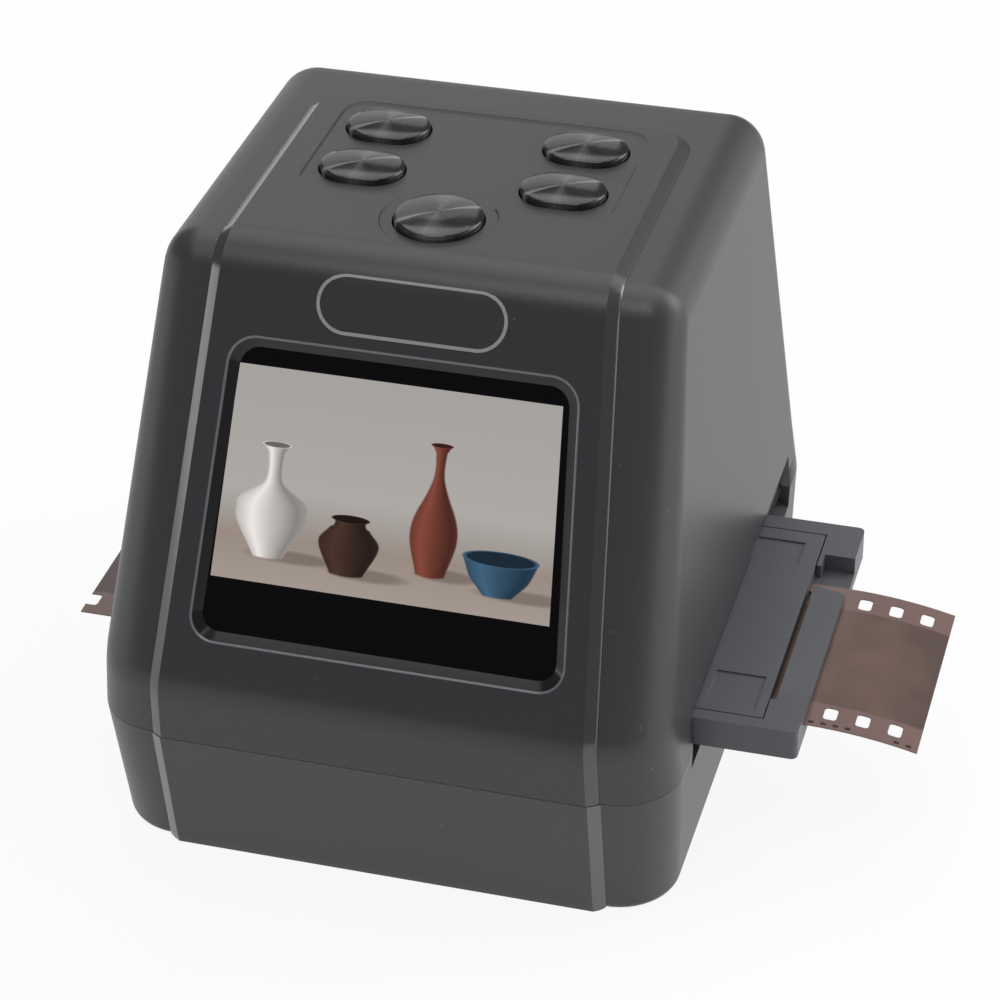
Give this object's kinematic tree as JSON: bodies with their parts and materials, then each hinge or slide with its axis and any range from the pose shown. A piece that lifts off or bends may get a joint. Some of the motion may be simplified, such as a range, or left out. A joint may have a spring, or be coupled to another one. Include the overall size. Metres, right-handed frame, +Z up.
{
  "type": "film negative scanner",
  "caption": "Desktop scanner for 35 mm film with a sloping display, buttons on top and a film tray that slides in from the side.",
  "frame": {"origin": "middle of the flat underside of the base, on the table", "axes": "+X to the right as one faces the display, +Y to the back, +Z up"},
  "size_m": [0.128, 0.1034, 0.0925],
  "materials": {
    "shell_plastic": "satin, fine spark grain",
    "cover_plastic": "satin with a faint metallic grain",
    "window_plastic": "polished, picture lit behind it",
    "lcd_glass": "smooth",
    "white_plastic": "smooth",
    "button_plastic": "polished, spun",
    "circuit_board": "satin",
    "steel": "bright",
    "black_plastic": "matt",
    "opal_plastic": "frosted",
    "led_phosphor": "smooth",
    "lens_glass": "coated",
    "tray_plastic": "satin",
    "film_base": "glossy, see-through brown",
    "flex_cable": "smooth",
    "rubber": "matt"
  },
  "bodies": {
    "scanner": {"upper_shell": "shell_plastic", "front_cover": "cover_plastic", "lower_shell": "shell_plastic", "base_plate": "shell_plastic", "display_window": "window_plastic", "display_panel": "lcd_glass", "display_frame": "white_plastic", "button_board": "circuit_board", "tact_switches": "steel", "main_board": "circuit_board", "board_chips": "black_plastic", "usb_socket": "steel", "video_jack": "black_plastic", "card_socket": "steel", "film_gate": "black_plastic", "detent_spring": "steel", "light_box": "white_plastic", "light_diffuser": "opal_plastic", "led_board": "white_plastic", "backlight_leds": "led_phosphor", "light_shroud": "black_plastic", "lens_holder": "black_plastic", "lens_barrel": "black_plastic", "lens_elements": "lens_glass", "sensor_board": "circuit_board", "image_sensor": "lcd_glass", "display_ribbon": "flex_cable", "sensor_ribbon": "flex_cable", "button_ribbon": "flex_cable", "rubber_feet": "rubber", "case_screws": "steel", "gate_screws": "steel", "board_screws": "steel", "display_screws": "steel"},
    "tray": {"tray_base": "tray_plastic", "tray_lid": "tray_plastic", "lid_hinge_pins": "steel"},
    "film": {"film_strip": "film_base"},
    "button_power": {"button_power": "button_plastic"},
    "button_back": {"button_back": "button_plastic"},
    "button_ok": {"button_ok": "button_plastic"},
    "button_next": {"button_next": "button_plastic"},
    "button_mode": {"button_mode": "button_plastic"}
  },
  "joints": [
    {"name": "tray_slide", "type": "slide", "parent": "scanner", "child": "tray", "axis": [1, 0, 0], "range_m": [0, 0.045]},
    {"name": "film_slide", "type": "slide", "parent": "tray", "child": "film", "axis": [1, 0, 0], "range_m": [0, 0.038]},
    {"name": "button_power_press", "type": "slide", "parent": "scanner", "child": "button_power", "axis": [0, 0, -1], "range_m": [0, 0.0005], "stiffness_N_per_m": 2000, "springref_m": -0.0002},
    {"name": "button_back_press", "type": "slide", "parent": "scanner", "child": "button_back", "axis": [0, 0, -1], "range_m": [0, 0.0005], "stiffness_N_per_m": 2000, "springref_m": -0.0002},
    {"name": "button_ok_press", "type": "slide", "parent": "scanner", "child": "button_ok", "axis": [0, 0, -1], "range_m": [0, 0.0005], "stiffness_N_per_m": 2000, "springref_m": -0.0002},
    {"name": "button_next_press", "type": "slide", "parent": "scanner", "child": "button_next", "axis": [0, 0, -1], "range_m": [0, 0.0005], "stiffness_N_per_m": 2000, "springref_m": -0.0002},
    {"name": "button_mode_press", "type": "slide", "parent": "scanner", "child": "button_mode", "axis": [0, 0, -1], "range_m": [0, 0.0005], "stiffness_N_per_m": 2000, "springref_m": -0.0002}
  ]
}
